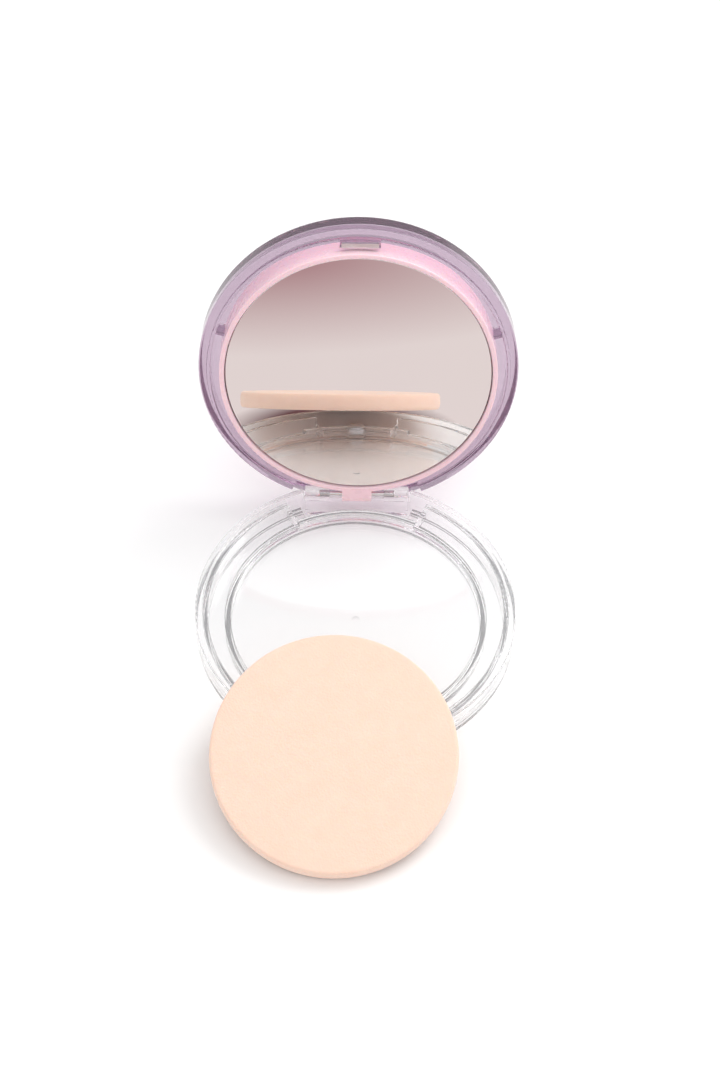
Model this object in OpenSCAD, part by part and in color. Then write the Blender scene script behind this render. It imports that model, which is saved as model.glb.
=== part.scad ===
// Round powder compact: clear base with an empty pan well, lavender lid with a
// mirror in a pink frame, and a foam sponge leaning against the front of the base.
// Millimetres, +Z up, front towards -Y, origin under the centre of the base.

/* [Compact] */
// Outer diameter of base and lid
compact_d = 76; // [70:1:90]
// Height of the base, table to rim
base_h = 8.2; // [7.8:0.1:9]
// Height of the lid, rim to top
lid_h = 7.2; // [7:0.1:9]
// Angle the lid is opened from shut
open_angle = 106; // [90:1:106]

/* [Well and mirror] */
// Inner diameter of the well that takes a 59 mm powder pan
well_d = 59.2; // [54:0.1:59.4]
// Diameter of the mirror
mirror_d = 63.2; // [60:0.1:63.4]
// How far the mirror frame stands out past the lid rim
frame_drop = 2.8; // [2:0.1:2.8]

/* [Hinge] */
// Diameter of the hinge knuckles
knuckle_d = 3.8; // [3.4:0.1:3.8]
// Diameter of the hinge pin
pin_d = 1.2; // [0.8:0.1:1.4]

/* [Sponge] */
// Diameter of the sponge
sponge_d = 56; // [50:1:57]
// Thickness of the sponge
sponge_t = 5; // [4:0.5:7]
// Distance of the sponge to the left of the base's middle
sponge_offset = 4.6; // [0:0.1:6]

/* [Hidden] */
$fn = 96;
eps = 0.01;

// Radii of the round parts
compact_r = compact_d / 2;
base_wall = 1.5;
shell_in_r = compact_r - base_wall;
well_r = well_d / 2;
ring_wall = 1.6;
ring_r = well_r + ring_wall;
upstand_out_r = shell_in_r - 0.2;
upstand_in_r = upstand_out_r - 1.3;
lid_in_r = compact_r - 2.8;
land_in_r = compact_r - 1.6;
mirror_r = mirror_d / 2;
seat_r = mirror_r + 0.15;
frame_r = seat_r + 1.25;

// Heights in the base
base_floor = 1.0;
rim_edge = 0.35;
well_floor_z = 2.4;
well_floor_t = 0.8;
channel_z = 2.9;
channel_t = 0.8;
ring_h = 4.6;
raised_ring_h = 5.6;
rib_h = 5.0;
upstand_h = base_h - 1.1;

// Heights in the lid, given for the lid shut
part_gap = 0.2;
lid_rim_z = base_h + part_gap;
lid_top_z = lid_rim_z + lid_h;
lid_edge_r = 1.6;
lid_roof_t = 2.0;
roof_z = lid_top_z - lid_roof_t;
lip_z = lid_rim_z - frame_drop;
mirror_recess = 0.8;
mirror_t = 1.2;
tape_t = 0.4;
seat_t = 1.0;
mirror_z = lip_z + mirror_recess;
tape_z = mirror_z + mirror_t;
seat_z = tape_z + tape_t;

// Hinge: the axis runs along X, inside the rear rim
hinge_y = compact_r - 3.4;
hinge_z = base_h - 0.8;
knuckle_r = knuckle_d / 2;
lid_knuckle_w = 7.2;
pin_reach = 9.2;
base_knuckle_in = 6.7;
base_knuckle_out = 12.7;
pin_fit = 0.05;
rear_flat_y = compact_r - 1.8;
rear_wall_z = hinge_z - 2.3;
rear_wall_t = 1.2;
window_z = hinge_z + 2.6;

// Angles, from the middle of the rear or the front, where the tray changes
slot_angle = 20.8;
window_angle = 25;
notch_angle = 22.5;
raised_half_angle = 28;
rear_gap_angle = 28.5;
front_gap_angle = 18.5;
rib_t = 1.0;

// Latch in the middle of the front
magnet_r = 2.2;
magnet_t = 2.0;
magnet_y = ring_r + 2.65;
magnet_top_z = 5.0;
keeper_w = 8.6;
keeper_d = 1.2;
keeper_t = 0.8;
keeper_y = frame_r + 0.6;
keeper_z = lid_rim_z - 1.0;

// The sponge rests on the table and on the front edge of the base rim
sponge_r = sponge_d / 2;
sponge_edge = 0.7;
sponge_gap = 0.08;
sponge_tilt = 15.3;

// ---- profiles and helpers ----

// Rectangle with rounded corners, its lower left corner at x, y
module soft_rect(x, y, w, h, r) {
    translate([x + r, y]) square([w - 2 * r, h]);
    translate([x, y + r]) square([w, h - 2 * r]);
    for (cx = [x + r, x + w - r], cy = [y + r, y + h - r])
        translate([cx, cy]) circle(r);
}

// Ring round the Z axis with rounded edges
module soft_ring(r_in, r_out, z0, z1, edge) {
    rotate_extrude() soft_rect(r_in, z0, r_out - r_in, z1 - z0, edge);
}

// Disc with a rounded rim
module soft_disc(r, z0, z1, edge) {
    rotate_extrude() {
        translate([0, z0]) square([r - edge, z1 - z0]);
        translate([0, z0 + edge]) square([r, z1 - z0 - 2 * edge]);
        for (z = [z0 + edge, z1 - edge])
            translate([r - edge, z]) circle(edge);
    }
}

// Box given by its two corners
module box(a, b) {
    translate(a) cube(b - a);
}

// Wedge about the Z axis, half_angle either side of +Y (side 1) or -Y (side -1)
module wedge(half_angle, side, z0, z1) {
    reach = 60;
    x = reach * tan(half_angle);
    translate([0, 0, z0]) linear_extrude(z1 - z0)
        polygon([[0, 0], [x, side * reach], [-x, side * reach]]);
}

// Wedge without its tip, from radius r outwards, at the rear
module rear_gap(half_angle, r, z0, z1) {
    difference() {
        wedge(half_angle, 1, z0, z1);
        translate([0, 0, z0 - 1]) cylinder(r = r, h = z1 - z0 + 2);
    }
}

// Cylinder along X on the hinge axis, from x0 to x1
module axle(r, x0, x1) {
    translate([x0, hinge_y, hinge_z]) rotate([0, 90, 0]) cylinder(r = r, h = x1 - x0);
}

// Turns a lid part from shut to open
module opened() {
    translate([0, hinge_y, hinge_z]) rotate([-open_angle, 0, 0])
        translate([0, -hinge_y, -hinge_z]) children();
}

// ---- base ----

// Tub with a rounded foot and rim, before the hinge is cut in
module tub() {
    foot = 1.0;
    rotate_extrude() difference() {
        union() {
            square([compact_r - foot, foot]);
            translate([compact_r - foot, foot]) circle(foot);
            translate([0, foot]) square([compact_r, base_h - foot - rim_edge]);
            translate([0, foot]) square([compact_r - rim_edge, base_h - foot]);
            translate([compact_r - rim_edge, base_h - rim_edge]) circle(rim_edge);
        }
        translate([0, base_floor]) square([shell_in_r, base_h]);
    }
}

// One clear hinge knuckle on its pedestal, on the side given by +1 or -1
module base_knuckle(side) {
    x0 = side > 0 ? base_knuckle_in : -base_knuckle_out;
    x1 = side > 0 ? base_knuckle_out : -base_knuckle_in;
    front = hinge_y - knuckle_r + 0.3;
    axle(knuckle_r, x0, x1);
    box([x0, front, base_floor - eps], [x1, rear_flat_y, hinge_z]);
}

module base_shell() {
    color([0.93, 0.94, 0.95, 0.5]) difference() {
        union() {
            difference() {
                tub();
                box([-compact_r, rear_flat_y, -1], [compact_r, compact_r + 1, base_h + 1]);
                rear_gap(slot_angle, ring_r, rear_wall_z, base_h + 1);
            }
            box([-11, rear_flat_y - rear_wall_t, 0.3], [11, rear_flat_y, rear_wall_z]);
            base_knuckle(1);
            base_knuckle(-1);
        }
        axle(pin_d / 2, -pin_reach, pin_reach);
    }
}

// Rings and floors of the tray, all the way round
module tray_rings() {
    soft_ring(well_r, ring_r, base_floor, ring_h, 0.3);
    soft_ring(upstand_in_r, upstand_out_r, base_floor, upstand_h, 0.3);
    translate([0, 0, well_floor_z - well_floor_t]) cylinder(r = well_r + 0.5, h = well_floor_t);
    difference() {
        translate([0, 0, channel_z - channel_t]) cylinder(r = upstand_in_r + 0.5, h = channel_t);
        translate([0, 0, channel_z - channel_t - 1]) cylinder(r = well_r + 0.4, h = channel_t + 2);
    }
}

// Taller part of the well ring, on the side given by +1 (rear) or -1 (front)
module raised_segment(side) {
    intersection() {
        soft_ring(well_r, ring_r, channel_z, raised_ring_h, 0.3);
        wedge(raised_half_angle, side, 0, base_h);
    }
}

// Radial rib across the channel
module rib(angle) {
    rotate([0, 0, angle])
        box([ring_r - 0.8, -rib_t / 2, channel_z - 0.1], [upstand_out_r - 0.3, rib_t / 2, rib_h]);
}

// Wide gaps in the upstand at the rear, for the hinge, and at the front, for the latch
module upstand_gaps() {
    difference() {
        union() {
            wedge(rear_gap_angle, 1, channel_z, base_h);
            wedge(front_gap_angle, -1, channel_z, base_h);
        }
        cylinder(r = ring_r, h = base_h);
    }
}

// Half-ring moulding mark sunk in the middle of the well floor
module gate_mark() {
    gate_r = 0.9;
    translate([0, 0, well_floor_z - 0.2]) difference() {
        cylinder(r = gate_r, h = 1);
        translate([0, 0, -1]) cylinder(r = gate_r - 0.4, h = 3);
        box([-gate_r - 1, -gate_r - 1, -1], [gate_r + 1, 0, 2]);
    }
}

module inner_tray() {
    color([0.9, 0.92, 0.93, 0.5]) difference() {
        union() {
            difference() {
                tray_rings();
                upstand_gaps();
            }
            raised_segment(1);
            raised_segment(-1);
            for (side = [1, -1]) {
                rib(90 + side * rear_gap_angle);
                rib(-90 + side * front_gap_angle);
            }
            translate([0, -magnet_y, base_floor]) cylinder(r = magnet_r + 0.4, h = 3.4);
        }
        rear_gap(notch_angle, ring_r + 1, 0, base_h);
        translate([0, -magnet_y, magnet_top_z - magnet_t]) cylinder(r = magnet_r, h = magnet_t);
        gate_mark();
    }
}

module hinge_pin() {
    color([0.78, 0.78, 0.82]) axle(pin_d / 2, -pin_reach, pin_reach);
}

module latch_magnet() {
    color([0.75, 0.75, 0.77]) translate([0, -magnet_y, 0])
        soft_disc(magnet_r, magnet_top_z - magnet_t, magnet_top_z, 0.25);
}

// ---- lid, drawn shut and then opened ----

// Outside of the lid: straight wall with a small rim edge and a large top edge
module lid_outside() {
    flat_r = compact_r - lid_edge_r;
    edge_z = lid_top_z - lid_edge_r;
    rotate_extrude() {
        translate([0, lid_rim_z]) square([compact_r - rim_edge, edge_z - lid_rim_z]);
        translate([0, lid_rim_z + rim_edge]) square([compact_r, edge_z - lid_rim_z - rim_edge]);
        translate([compact_r - rim_edge, lid_rim_z + rim_edge]) circle(rim_edge);
        translate([0, edge_z]) square([flat_r, lid_edge_r]);
        translate([flat_r, edge_z]) circle(lid_edge_r);
    }
}

// Room inside the lid, with a rounded upper corner
module lid_inside() {
    corner = 1.0;
    rotate_extrude() {
        translate([0, lid_rim_z - 1]) square([lid_in_r, roof_z - corner - lid_rim_z + 1]);
        translate([0, lid_rim_z]) square([lid_in_r - corner, roof_z - lid_rim_z]);
        translate([lid_in_r - corner, roof_z - corner]) circle(corner);
    }
}

// Clear block that carries the keeper plate at the front of the lid
module keeper_block() {
    box([-keeper_w / 2 - 0.4, -lid_in_r - 0.5, keeper_z + keeper_t],
        [keeper_w / 2 + 0.4, -frame_r - 0.3, keeper_z + keeper_t + 2.2]);
}

// Small lug between lid wall and mirror frame
module lid_lug(side) {
    lug_angle = -17;
    rotate([0, 0, side > 0 ? lug_angle : 180 - lug_angle])
        box([frame_r + 0.1, -0.5, lid_rim_z + 0.3], [lid_in_r + 0.5, 0.5, roof_z - 1]);
}

module lid_shell() {
    tongue_drop = 0.8;
    color([0.72, 0.64, 0.80, 0.5]) opened() difference() {
        union() {
            difference() {
                lid_outside();
                lid_inside();
            }
            soft_ring(lid_in_r, land_in_r - 0.3, lid_rim_z - tongue_drop, lid_rim_z + 0.8, 0.25);
            keeper_block();
            lid_lug(1);
            lid_lug(-1);
        }
        box([-compact_r, rear_flat_y, 0], [compact_r, compact_r + 1, lid_top_z + 1]);
        rear_gap(window_angle, frame_r - 2, 0, window_z);
    }
}

module mirror_frame() {
    arm_w = lid_knuckle_w / 2;
    color([0.97, 0.76, 0.80]) opened() difference() {
        union() {
            soft_ring(seat_r, frame_r, lip_z, roof_z, 0.35);
            translate([0, 0, seat_z]) cylinder(r = seat_r + 0.5, h = seat_t);
            axle(knuckle_r, -arm_w, arm_w);
            box([-arm_w, seat_r + 0.4, hinge_z - knuckle_r], [arm_w, hinge_y, hinge_z + knuckle_r]);
        }
        axle(pin_d / 2 + pin_fit, -arm_w - 1, arm_w + 1);
    }
}

module mirror() {
    color([0.85, 0.86, 0.88]) opened() soft_disc(mirror_r, mirror_z, tape_z, 0.2);
}

module mirror_tape() {
    color([0.95, 0.95, 0.92]) opened()
        translate([0, 0, tape_z]) cylinder(r = mirror_r - 2.6, h = tape_t);
}

module keeper_plate() {
    color([0.80, 0.80, 0.82]) opened()
        box([-keeper_w / 2, -keeper_y - keeper_d, keeper_z],
            [keeper_w / 2, -keeper_y, keeper_z + keeper_t]);
}

// ---- sponge ----

// Foam disc whose back lies on the base rim and whose lowest edge lies on the table
module sponge() {
    t = sponge_tilt;
    rim_reach = (base_h - rim_edge) * cos(t) + rim_edge + sponge_gap;
    back_y = -(compact_r - rim_edge) - rim_reach / sin(t);
    foot_shift = sponge_edge * (1 - sin(t) - cos(t)) / sin(t);
    color([0.99, 0.87, 0.78]) translate([-sponge_offset, back_y, 0]) rotate([t, 0, 0])
        translate([0, sponge_r + foot_shift, 0]) soft_disc(sponge_r, 0, sponge_t, sponge_edge);
}

base_shell();
inner_tray();
hinge_pin();
latch_magnet();
lid_shell();
mirror_frame();
mirror();
mirror_tape();
keeper_plate();
sponge();
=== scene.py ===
"""Looks for the powder compact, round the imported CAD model.

The pieces are clear and tinted plastics, a mirror, metals and a foam sponge.
"""

import math

import bmesh
import bpy
from mathutils import Matrix, Vector, noise

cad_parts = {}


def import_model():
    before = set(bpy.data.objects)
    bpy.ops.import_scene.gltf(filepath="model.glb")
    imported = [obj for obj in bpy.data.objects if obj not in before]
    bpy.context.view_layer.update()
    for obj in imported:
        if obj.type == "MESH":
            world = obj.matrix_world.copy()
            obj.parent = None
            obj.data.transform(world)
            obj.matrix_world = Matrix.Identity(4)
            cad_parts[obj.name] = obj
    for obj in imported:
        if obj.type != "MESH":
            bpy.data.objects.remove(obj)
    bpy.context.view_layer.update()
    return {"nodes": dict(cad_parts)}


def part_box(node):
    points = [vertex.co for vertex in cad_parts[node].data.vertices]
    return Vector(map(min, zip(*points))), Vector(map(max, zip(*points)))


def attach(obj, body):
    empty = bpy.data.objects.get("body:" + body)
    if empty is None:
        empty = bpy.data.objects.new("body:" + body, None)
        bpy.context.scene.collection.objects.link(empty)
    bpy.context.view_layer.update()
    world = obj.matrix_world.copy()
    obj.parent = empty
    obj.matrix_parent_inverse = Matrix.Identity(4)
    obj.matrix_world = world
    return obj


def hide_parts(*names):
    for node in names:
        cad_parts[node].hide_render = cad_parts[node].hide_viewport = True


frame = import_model()

IMAGE_H_PX = 1080
SENSOR_MM = 36.0
FOCAL_PX = 2104.7
CAMERA_DISTANCE = 0.52
CAMERA_ELEVATION = math.radians(52.37)
CAMERA_YAW = math.radians(0.57)
CAMERA_ROLL = math.radians(1.11)
CAMERA_TARGET = Vector((0.00094, 0.02586, 0.0))

CLEAR_IOR = 1.46
CLEAR_SHARE = 0.97
SOLID_IOR = 1.5
BOUNCES = 20

WORLD_WHITE = (1.0, 1.0, 1.0)
WORLD_STRENGTH = 0.8
KEY_PLACE = (0.5, 0.35, 0.75)
KEY_SIZE = (0.5, 0.5)
KEY_WATTS = 3.6
TOP_PLACE = (0.0, 0.0, 1.0)
TOP_SIZE = (0.9, 0.9)
TOP_WATTS = 2.2
FLOOR_SIZE = 6.0
FLOOR_Z = -0.0001

CARD_Z = 0.0003
CARD_HALF_WIDTH = 0.4
CARD_FRONT = -0.9
CARD_BACK = -0.04
# Painted reflection: the card's darker rosy patch, which the mirror shows, is centred here.
ROSE_REFLECTION_SPOT = (-0.05, -0.27, 0.0)
ROSE_REFLECTION_INNER = 0.03
ROSE_REFLECTION_OUTER = 0.15
# Painted shadow: the card's dark patch under the sponge, as the mirror shows it, is centred here.
SHADE_SPOT = (-0.004, -0.044, 0.0)
SHADE_INNER = 0.022
SHADE_OUTER = 0.034


# ---- node helpers ----


class Shader:
    """A new material's node tree, with short calls to add and link nodes."""

    def __init__(self, name):
        self.material = bpy.data.materials.new(name)
        self.material.use_nodes = True
        self.nodes = self.material.node_tree.nodes
        self.links = self.material.node_tree.links
        self.surface = self.nodes["Principled BSDF"]
        self.output = self.nodes["Material Output"]
        self.place = self.nodes.new("ShaderNodeTexCoord").outputs["Object"]

    def set(self, **values):
        for key, value in values.items():
            self.surface.inputs[key.replace("_", " ")].default_value = value

    def link(self, source, target):
        self.links.new(source, target)

    def noise(self, size, detail=2.0, stretch=(1.0, 1.0, 1.0)):
        """Noise whose blobs are about size metres across."""
        mapping = self.nodes.new("ShaderNodeMapping")
        mapping.inputs["Scale"].default_value = stretch
        self.link(self.place, mapping.inputs["Vector"])
        texture = self.nodes.new("ShaderNodeTexNoise")
        texture.inputs["Scale"].default_value = 1.0 / size
        texture.inputs["Detail"].default_value = detail
        self.link(mapping.outputs["Vector"], texture.inputs["Vector"])
        return texture.outputs["Fac"]

    def cells(self, size):
        """Distance to the nearest of points about size metres apart."""
        texture = self.nodes.new("ShaderNodeTexVoronoi")
        texture.inputs["Scale"].default_value = 1.0 / size
        self.link(self.place, texture.inputs["Vector"])
        return texture.outputs["Distance"]

    def span(self, value, low, high, start=0.0, end=1.0):
        """value, from start to end, stretched to run from low to high."""
        node = self.nodes.new("ShaderNodeMapRange")
        node.inputs["From Min"].default_value = start
        node.inputs["From Max"].default_value = end
        node.inputs["To Min"].default_value = low
        node.inputs["To Max"].default_value = high
        self.link(value, node.inputs["Value"])
        return node.outputs["Result"]

    def blend(self, value, first, second):
        """The colour first where value is 0, and second, a colour or another blend, where it is 1."""
        node = self.nodes.new("ShaderNodeMix")
        node.data_type = "RGBA"
        node.inputs["A"].default_value = (*first, 1.0)
        if isinstance(second, tuple):
            node.inputs["B"].default_value = (*second, 1.0)
        else:
            self.link(second, node.inputs["B"])
        self.link(value, node.inputs["Factor"])
        return node.outputs["Result"]

    def around(self, spot, inner, outer):
        """0 within inner metres of spot, rising to 1 at outer."""
        far = self.nodes.new("ShaderNodeVectorMath")
        far.operation = "DISTANCE"
        far.inputs[1].default_value = spot
        self.link(self.place, far.inputs[0])
        return self.span(far.outputs["Value"], 0.0, 1.0, inner, outer)

    def bump(self, height, depth, strength=1.0):
        """Bump whose height runs over depth metres."""
        node = self.nodes.new("ShaderNodeBump")
        node.inputs["Distance"].default_value = depth
        node.inputs["Strength"].default_value = strength
        self.link(height, node.inputs["Height"])
        self.link(node.outputs["Normal"], self.surface.inputs["Normal"])

    def absorb(self, colour, density):
        """Light is lost with distance inside the solid."""
        node = self.nodes.new("ShaderNodeVolumeAbsorption")
        node.inputs["Color"].default_value = (*colour, 1.0)
        node.inputs["Density"].default_value = density
        self.link(node.outputs["Volume"], self.output.inputs["Volume"])

    def pass_lamps(self, tint):
        """Shadow rays and rays from matt surfaces go straight through, tinted.

        What is behind the clear wall is then lit.
        """
        path = self.nodes.new("ShaderNodeLightPath")
        clear = self.nodes.new("ShaderNodeBsdfTransparent")
        clear.inputs["Color"].default_value = (*tint, 1.0)
        shown = self.surface.outputs["BSDF"]
        for ray in ("Is Shadow Ray", "Is Diffuse Ray"):
            mix = self.nodes.new("ShaderNodeMixShader")
            self.link(path.outputs[ray], mix.inputs["Fac"])
            self.link(shown, mix.inputs[1])
            self.link(clear.outputs["BSDF"], mix.inputs[2])
            shown = mix.outputs["Shader"]
        self.link(shown, self.output.inputs["Surface"])


# ---- materials ----


def see_through(name, colours, lost, density, lamp_tint):
    """Moulded plastic that bends light, with a little haze and waviness."""
    s = Shader(name)
    s.set(IOR=CLEAR_IOR, Transmission_Weight=CLEAR_SHARE)
    s.link(s.blend(s.noise(0.02, 3.0), *colours), s.surface.inputs["Base Color"])
    s.link(s.span(s.noise(0.006, 4.0), 0.015, 0.05, 0.3, 0.7), s.surface.inputs["Roughness"])
    s.bump(s.noise(0.012, 1.0), 0.000012)
    s.absorb(lost, density)
    s.pass_lamps(lamp_tint)
    return s.material


def clear_plastic():
    colours = ((0.985, 0.985, 0.99), (0.995, 0.995, 0.995))
    return see_through("clear_plastic", colours, (0.80, 0.81, 0.84), 8.0, (0.99, 0.99, 0.99))


def lilac_plastic():
    colours = ((0.56, 0.46, 0.55), (0.60, 0.50, 0.59))
    return see_through("lilac_plastic", colours, (0.72, 0.60, 0.71), 40.0, (0.90, 0.85, 0.90))


def pink_plastic():
    s = Shader("pink_plastic")
    s.set(IOR=SOLID_IOR, Subsurface_Weight=0.15, Subsurface_Scale=0.0015)
    s.set(Coat_Weight=0.3, Coat_Roughness=0.08)
    s.link(
        s.blend(s.noise(0.015, 3.0), (0.94, 0.64, 0.70), (0.96, 0.67, 0.73)),
        s.surface.inputs["Base Color"],
    )
    s.link(s.span(s.noise(0.003, 4.0), 0.22, 0.34, 0.3, 0.7), s.surface.inputs["Roughness"])
    s.bump(s.noise(0.0006, 2.0), 0.000006, 0.5)
    return s.material


def mirror_glass():
    s = Shader("mirror_glass")
    s.set(Metallic=1.0)
    s.link(
        s.blend(s.noise(0.03, 3.0), (0.84, 0.825, 0.82), (0.87, 0.855, 0.85)),
        s.surface.inputs["Base Color"],
    )
    s.link(s.span(s.noise(0.01, 4.0), 0.0, 0.03, 0.35, 0.8), s.surface.inputs["Roughness"])
    return s.material


def metal(name, dark, light, rough, grain):
    s = Shader(name)
    s.set(Metallic=1.0)
    s.link(s.blend(s.noise(0.0015, 4.0), dark, light), s.surface.inputs["Base Color"])
    streaks = s.noise(0.0004, 3.0, grain)
    s.link(s.span(streaks, rough * 0.7, rough * 1.3, 0.3, 0.7), s.surface.inputs["Roughness"])
    s.bump(streaks, 0.000004, 0.6)
    return s.material


def tape_foam():
    s = Shader("tape_foam")
    s.set(Roughness=0.8)
    s.link(
        s.blend(s.noise(0.001, 3.0), (0.80, 0.80, 0.76), (0.88, 0.88, 0.84)),
        s.surface.inputs["Base Color"],
    )
    s.bump(s.cells(0.0004), 0.00005)
    return s.material


def sponge_foam():
    s = Shader("sponge_foam")
    s.set(Subsurface_Weight=0.25, Subsurface_Scale=0.001, Sheen_Weight=0.15, Sheen_Roughness=0.6)
    s.surface.inputs["Subsurface Radius"].default_value = (1.0, 0.6, 0.4)
    s.surface.inputs["Roughness"].default_value = 0.9
    cloud = s.noise(0.004, 5.0)
    s.link(
        s.blend(s.span(cloud, 0.0, 1.0, 0.3, 0.7), (0.94, 0.655, 0.525), (0.955, 0.68, 0.55)),
        s.surface.inputs["Base Color"],
    )
    s.bump(s.cells(0.0005), 0.00012, 0.6)
    return s.material


def floor_paint():
    s = Shader("floor_paint")
    s.link(
        s.blend(s.noise(0.3, 3.0), (0.90, 0.90, 0.90), (0.92, 0.92, 0.92)),
        s.surface.inputs["Base Color"],
    )
    s.surface.inputs["Roughness"].default_value = 0.6
    return s.material


def wear(node, material):
    data = frame["nodes"][node].data
    data.materials.clear()
    data.materials.append(material)


clear = clear_plastic()
steel = metal("steel", (0.72, 0.70, 0.71), (0.85, 0.83, 0.84), 0.22, (0.1, 1.0, 1.0))
nickel = metal("nickel", (0.74, 0.74, 0.76), (0.84, 0.84, 0.86), 0.16, (1.0, 1.0, 1.0))
for node, material in {
    "base_shell": clear,
    "inner_tray": clear,
    "hinge_pin": steel,
    "latch_magnet": nickel,
    "lid_shell": lilac_plastic(),
    "mirror_frame": pink_plastic(),
    "mirror": mirror_glass(),
    "mirror_tape": tape_foam(),
    "keeper_plate": steel,
}.items():
    wear(node, material)


# ---- sponge ----


SPONGE_TILT = math.radians(15.3)
SPONGE_THICK = 0.005
SPONGE_CROWN = 0.0003
SPONGE_EDGE = 0.0008
SPONGE_GRAIN = 0.00002
SPONGE_RINGS = 56
SPONGE_SEGMENTS = 288
SPONGE_EDGE_STEPS = 12
FINE_PORES = 0.0011
COARSE_PORES = 0.0045
COARSE_SHARE = 0.6
SIDE_LEAN = 0.4


def sponge_profile(radius):
    """Radius and height pairs down half of the section, from the top's middle to the back's."""
    half = SPONGE_THICK / 2
    inner = radius - SPONGE_EDGE
    top = []
    for i in range(1, SPONGE_RINGS + 1):
        share = i / SPONGE_RINGS
        top.append((inner * share, half - SPONGE_CROWN * share**3))
    edge = []
    for i in range(1, SPONGE_EDGE_STEPS):
        angle = math.pi / 2 - math.pi * i / SPONGE_EDGE_STEPS
        swell = math.cos(angle) ** 0.7
        edge.append((inner + SPONGE_EDGE * swell, (half - SPONGE_CROWN) * math.sin(angle)))
    back = [(r, -z) for r, z in reversed(top)]
    return top + edge + back


def sponge(material):
    """A soft disc, crowned a little on both faces, with the uneven skin of cut foam."""
    low, high = (Vector(corner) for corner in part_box("sponge"))
    middle = (low + high) / 2
    radius = (high.x - low.x) / 2 - SPONGE_GRAIN
    half = SPONGE_THICK / 2
    build = bmesh.new()
    rings = []
    for r, z in sponge_profile(radius):
        ring = []
        for k in range(SPONGE_SEGMENTS):
            angle = 2 * math.pi * k / SPONGE_SEGMENTS
            place = Vector((r * math.cos(angle), r * math.sin(angle), z))
            grain = noise.noise(place / FINE_PORES) + COARSE_SHARE * noise.noise(place / COARSE_PORES)
            side_x = place.x / radius * SIDE_LEAN
            side_y = place.y / radius * SIDE_LEAN
            outward = Vector((side_x, side_y, z / half)).normalized()
            ring.append(build.verts.new(place - outward * SPONGE_GRAIN * (1 + grain) / (1 + COARSE_SHARE)))
        rings.append(ring)
    for ring, after in zip(rings, rings[1:]):
        for k in range(SPONGE_SEGMENTS):
            n = (k + 1) % SPONGE_SEGMENTS
            build.faces.new((ring[k], after[k], after[n], ring[n]))
    for ring, z in ((rings[0], half - SPONGE_GRAIN), (rings[-1], SPONGE_GRAIN - half)):
        hub = build.verts.new((0.0, 0.0, z))
        for k in range(SPONGE_SEGMENTS):
            build.faces.new((hub, ring[k], ring[(k + 1) % SPONGE_SEGMENTS]))
    bmesh.ops.recalc_face_normals(build, faces=build.faces)
    mesh = bpy.data.meshes.new("sponge_foam")
    build.to_mesh(mesh)
    build.free()
    mesh.shade_smooth()
    mesh.materials.append(material)
    mesh.transform(Matrix.Rotation(SPONGE_TILT, 4, "X"))
    mesh.transform(Matrix.Translation(middle))
    piece = bpy.data.objects.new("sponge_foam", mesh)
    bpy.context.collection.objects.link(piece)
    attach(piece, "sponge")
    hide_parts("sponge")


sponge(sponge_foam())


# ---- stage ----


def camera():
    """Looks down at the target from in front, turned by the yaw and the roll."""
    yaw = CAMERA_YAW
    roll = CAMERA_ROLL
    level = math.cos(CAMERA_ELEVATION)
    look = Vector((math.sin(yaw) * level, math.cos(yaw) * level, -math.sin(CAMERA_ELEVATION)))
    right = Vector((math.cos(yaw), -math.sin(yaw), 0.0))
    up = right.cross(look)
    side = math.cos(roll) * right + math.sin(roll) * up
    top = math.cos(roll) * up - math.sin(roll) * right
    data = bpy.data.cameras.new("camera")
    data.sensor_width = SENSOR_MM
    data.lens = FOCAL_PX / IMAGE_H_PX * SENSOR_MM
    data.clip_start = 0.01
    cam = bpy.data.objects.new("camera", data)
    bpy.context.collection.objects.link(cam)
    place = CAMERA_TARGET - look * CAMERA_DISTANCE
    matrix = Matrix((side, top, -look)).transposed().to_4x4()
    matrix.translation = place
    cam.matrix_world = matrix
    bpy.context.scene.camera = cam


def area_light(name, place, size, watts):
    """A white rectangular lamp at place that faces the middle of the base."""
    data = bpy.data.lights.new(name, "AREA")
    data.shape = "RECTANGLE"
    data.size, data.size_y = size
    data.energy = watts
    lamp = bpy.data.objects.new(name, data)
    bpy.context.collection.objects.link(lamp)
    lamp.location = place
    lamp.rotation_mode = "QUATERNION"
    lamp.rotation_quaternion = (-Vector(place)).to_track_quat("-Z", "Y")


def floor():
    mesh = bpy.data.meshes.new("floor")
    build = bmesh.new()
    bmesh.ops.create_grid(build, x_segments=2, y_segments=2, size=FLOOR_SIZE / 2)
    build.to_mesh(mesh)
    build.free()
    mesh.materials.append(floor_paint())
    plane = bpy.data.objects.new("floor", mesh)
    plane.location.z = FLOOR_Z
    bpy.context.collection.objects.link(plane)


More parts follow.
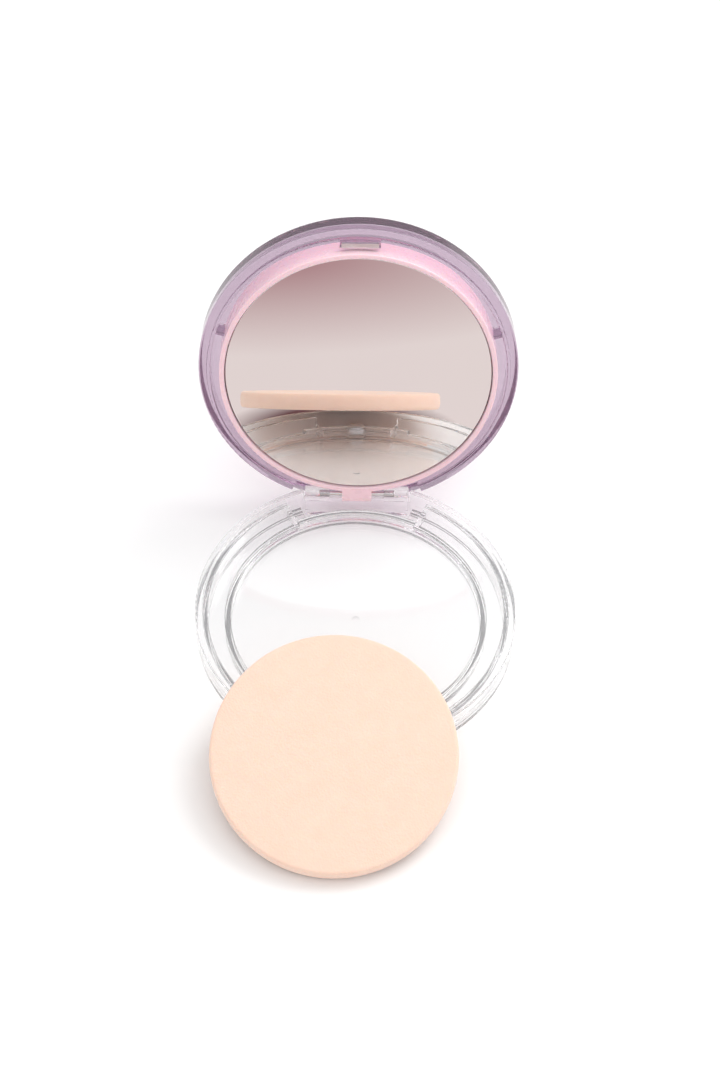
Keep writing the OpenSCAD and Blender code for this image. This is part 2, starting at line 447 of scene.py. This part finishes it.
def mirror_card():
    """Staging: a glowing card on the table in front, which only reflections show. It is no lamp, and what
    the mirror shows of it is a painted reflection.

    It paints a beige room with a rosy shade in it, and a painted shadow, a dark patch, under the sponge.
    """
    s = Shader("mirror_card")
    s.nodes.remove(s.surface)
    glow = s.nodes.new("ShaderNodeEmission")
    # The card glows in place of a lit room. This is a painted reflection: beige, with a darker rosy patch.
    from_rose_reflection = s.around(ROSE_REFLECTION_SPOT, ROSE_REFLECTION_INNER, ROSE_REFLECTION_OUTER)
    room = s.blend(from_rose_reflection, (0.46, 0.25, 0.27), (0.87, 0.77, 0.755))
    # A painted shadow under the sponge, laid over the painted room reflection.
    from_shade = s.around(SHADE_SPOT, SHADE_INNER, SHADE_OUTER)
    shade = s.blend(from_shade, (0.16, 0.075, 0.08), room)
    s.link(shade, glow.inputs["Color"])
    s.link(glow.outputs["Emission"], s.output.inputs["Surface"])
    mesh = bpy.data.meshes.new("mirror_card")
    corners = []
    for x, y in ((-1, CARD_FRONT), (1, CARD_FRONT), (1, CARD_BACK), (-1, CARD_BACK)):
        corners.append((x * CARD_HALF_WIDTH, y, CARD_Z))
    mesh.from_pydata(corners, [], [(0, 1, 2, 3)])
    mesh.materials.append(s.material)
    card = bpy.data.objects.new("mirror_card", mesh)
    bpy.context.collection.objects.link(card)
    card.visible_camera = False
    card.visible_diffuse = False
    card.visible_transmission = False
    card.visible_shadow = False


def world(colour, strength):
    w = bpy.data.worlds.new("studio")
    bpy.context.scene.world = w
    w.use_nodes = True
    background = w.node_tree.nodes["Background"]
    background.inputs["Color"].default_value = (*colour, 1.0)
    background.inputs["Strength"].default_value = strength


def quality():
    """Enough bounces to see through several clear walls, and colours shown as they are."""
    scene = bpy.context.scene
    scene.view_settings.view_transform = "Standard"
    scene.cycles.max_bounces = BOUNCES
    scene.cycles.glossy_bounces = BOUNCES
    scene.cycles.transmission_bounces = BOUNCES
    scene.cycles.transparent_max_bounces = BOUNCES
    scene.cycles.caustics_refractive = False
    scene.cycles.caustics_reflective = False


camera()
floor()
mirror_card()
world(WORLD_WHITE, WORLD_STRENGTH)
area_light("key", KEY_PLACE, KEY_SIZE, KEY_WATTS)
area_light("top", TOP_PLACE, TOP_SIZE, TOP_WATTS)
quality()
